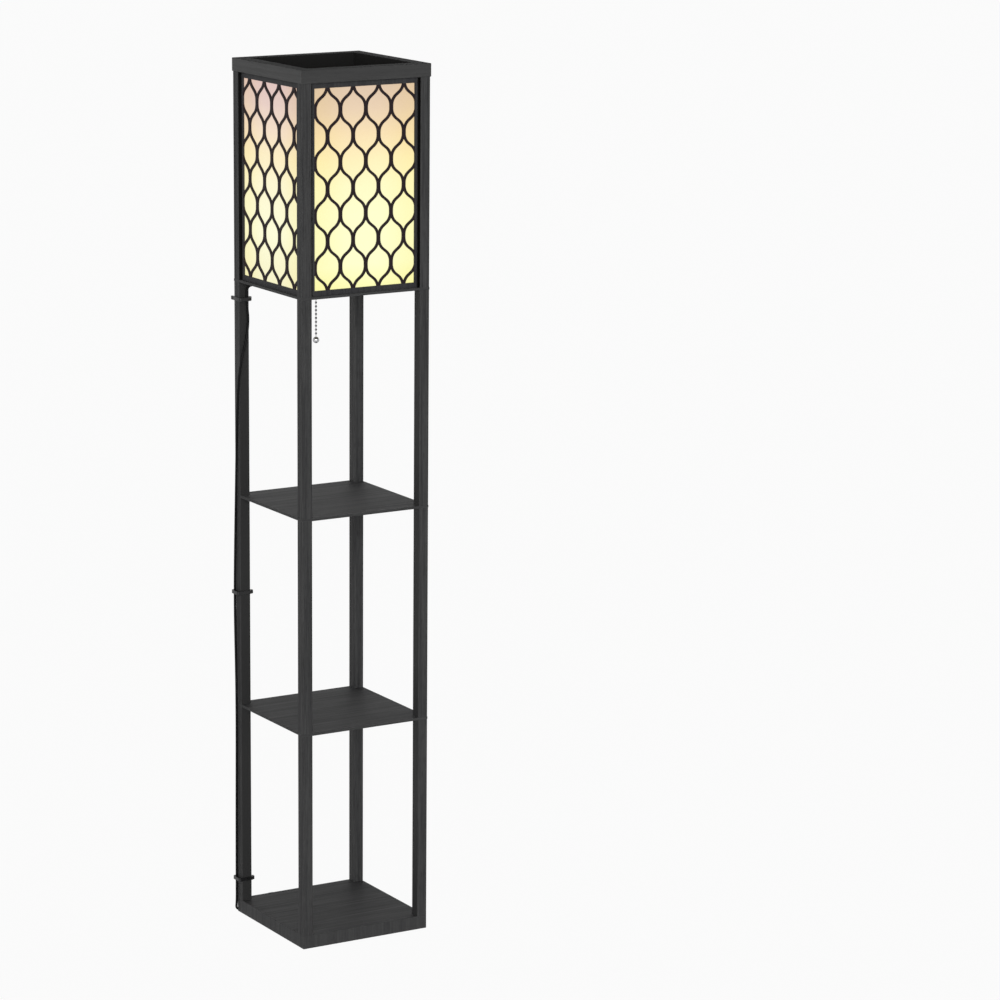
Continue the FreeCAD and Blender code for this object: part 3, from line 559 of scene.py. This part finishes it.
for tie_level in tie_levels:
    low = [-post_face - strap_fit, post_back - strap_fit, tie_level - strap_height / 2]
    high = [-post_back + strap_fit, post_face + strap_fit, tie_level + strap_height / 2]
    if tie_level == tie_levels[0]:  # the cord is on the post's front face here
        low[1] -= 2 * cord_radius + strap_fit
    else:
        low[0] -= 2 * cord_radius + 2 * strap_fit
        high[1] += strap_fit
    add_strap(ties, low, high, strap_corner, strap_thickness)
    head_low = (high[0] + head_inset, head_front, tie_level - head_half)
    head_high = (high[0] + strap_thickness + head_reach, head_back, tie_level + head_half)
    add_box(ties, head_low, head_high, head_rounding)
    tail_x = high[0] + strap_thickness + tail_gap
    add_box(ties, (tail_x, tail_front, tie_level - tail_half),
            (tail_x + tail_thickness, tail_back, tie_level + tail_half), tail_rounding, 1)
    if tie_level == tie_levels[0]:  # a knuckle at the back, of a guessed shape
        add_box(ties, (*knuckle_low, tie_level - knuckle_half),
                (*knuckle_high, tie_level + knuckle_half), knuckle_rounding)
strap_black, tree, shader = new_finish("strap black", tone(17, 17, 18), 0.3, Specular_IOR_Level=0.35)
grained(tree, shader, 0.0006, 0.00003, spread=(0.24, 0.38))
new_piece("cord_straps", ties, strap_black, "tie", "cord_ties")

# ---- cord grip ------------------------------------------------------------------------------
# A tapered grip with grooves round it that leads the cord out of the lampholder. The plug and
# the strap of the hank have the same finish.
grip_length = 0.014
groove_half, groove_floor_half, groove_depth = 0.0006, 0.0003, 0.0007
end_rounding = 0.0004
soft_black, tree, shader = new_finish("moulded grip", tone(26, 26, 27), 0.4)
grained(tree, shader, 0.0007, 0.00004, spread=(0.34, 0.46))


def grooved_cone(root_radius, tip_radius, length, grooves, start, toward):
    """A cone with grooves round it, closed at both ends, from start towards another point."""
    steps = [(0.0, 0.0), (root_radius - end_rounding, 0.0), (root_radius, end_rounding)]
    for number in range(grooves):
        along = length * (number + 1.2) / (grooves + 1.4)
        radius = root_radius + (tip_radius - root_radius) * along / length
        steps += [(radius, along - groove_half), (radius - groove_depth, along - groove_floor_half),
                  (radius - groove_depth, along + groove_floor_half), (radius, along + groove_half)]
    steps += [(tip_radius, length - end_rounding), (tip_radius - end_rounding, length), (0.0, length)]
    mesh = bmesh.new()
    spots = [mesh.verts.new((radius, 0, along)) for radius, along in steps]
    edges = [mesh.edges.new(pair) for pair in zip(spots, spots[1:])]
    bmesh.ops.spin(mesh, geom=spots + edges, cent=(0, 0, 0), axis=(0, 0, 1), angle=math.tau,
                   steps=40, use_merge=True)
    bmesh.ops.remove_doubles(mesh, verts=mesh.verts, dist=0.00001)
    turn = (Vector(toward) - Vector(start)).to_track_quat("Z", "Y")
    bmesh.ops.transform(mesh, matrix=Matrix.LocRotScale(start, turn, None), verts=mesh.verts)
    return mesh


grip_root = Vector((-0.011526, 0.011526, 1.214))
grip = grooved_cone(0.0046, 0.0032, grip_length, 4, grip_root, grip_tip)
new_piece("grip", grip, soft_black, "cord", "cord_grip")

# ---- plug -----------------------------------------------------------------------------------
# A moulded two-blade plug at the end of the cord, with a grooved relief and a sunk finger grip
# on its top and bottom.
plug_x, plug_y, plug_z = 0.048, 0.14115, 0.0075
relief_length, body_start, body_end = 0.0205, 0.020, 0.047
body_half_width, body_half_height, body_rounding = 0.010, 0.0075, 0.003
broad_area = 0.0002  # only the body's top and bottom are larger
plug = grooved_cone(0.0044, 0.0029, relief_length, 5,
                    (plug_x + relief_length, plug_y, plug_z), (plug_x, plug_y, plug_z))
add_box(plug, (plug_x + body_start, plug_y - body_half_width, plug_z - body_half_height),
        (plug_x + body_end, plug_y + body_half_width, plug_z + body_half_height), body_rounding, 4)
broad = [face for face in plug.faces if abs(face.normal.z) > 0.99 and face.calc_area() > broad_area]
bmesh.ops.inset_region(plug, faces=broad, thickness=0.0015, depth=0.0)
bmesh.ops.inset_region(plug, faces=broad, thickness=0.0006, depth=-0.0005)
new_piece("plug", plug, soft_black, "plug", "plug_body")

# ---- hank strap -----------------------------------------------------------------------------
# A thin loop of black strap round the waist of the hank. The photo doesn't show this part of
# the cord.
dress(soft_black, "hank_tie")

# ---- studio ---------------------------------------------------------------------------------
# A white floor without an edge under a sky that is darker overhead than round the horizon, with
# one wide soft light from the front left. Seen directly, floor and sky are the photo's white.
floor_wash = 0.95  # how far the seen floor is washed to white; the rest keeps its shadow


def seen_directly(tree):
    """1 for what the camera sees, also in a mirror or through glass, and 0 for light."""
    ray = add(tree, "LightPath").outputs
    direct = math_step(tree, "ADD", ray["Is Camera Ray"], ray["Is Glossy Ray"], clamp=True)
    return math_step(tree, "ADD", direct, ray["Is Transmission Ray"], clamp=True)


bpy.ops.mesh.primitive_plane_add(size=40, location=(0, 0, 0))
floor = bpy.context.object
floor.name = "floor"
paper, tree, shader = new_finish("studio floor", (0.82, 0.82, 0.82, 1), 0.9, Specular_IOR_Level=0.0)
output = tree.nodes["Material Output"]
direct = seen_directly(tree)
white = add(tree, "Emission", {"Color": (1, 1, 1, 1), "Strength": 1.0}).outputs[0]
wash = math_step(tree, "MULTIPLY", direct, floor_wash)
washed = add(tree, "MixShader", {0: wash, 1: shader.outputs[0], 2: white})
tree.links.new(washed.outputs[0], output.inputs["Surface"])
floor.data.materials.append(paper)

world = bpy.data.worlds.new("studio sky")
scene.world = world
world.use_nodes = True
tree = world.node_tree
tree.nodes.clear()
direct = seen_directly(tree)
upward = add(tree, "SeparateXYZ", {0: add(tree, "TexCoord").outputs["Generated"]}).outputs["Z"]
fall = add(tree, "MapRange", {"Value": upward, "From Min": 0.0, "From Max": 0.6,
                              "To Min": 0.75, "To Max": 0.02})
sky = add(tree, "Background", {"Color": (1, 1, 1, 1), "Strength": fall.outputs["Result"]}).outputs[0]
seen = add(tree, "Background", {"Color": (1, 1, 1, 1), "Strength": 1.0}).outputs[0]
both = add(tree, "MixShader", {0: direct, 1: sky, 2: seen})
output = add(tree, "OutputWorld")
tree.links.new(both.outputs[0], output.inputs["Surface"])

key_data = bpy.data.lights.new("key", "SUN")
key_data.energy = 2.9
key_data.angle = math.radians(40)
key = bpy.data.objects.new("key", key_data)
key.rotation_euler = Vector((-0.53, -0.83, 0.167)).to_track_quat("Z", "Y").to_euler()
scene.collection.objects.link(key)

scene.view_settings.view_transform = "Standard"
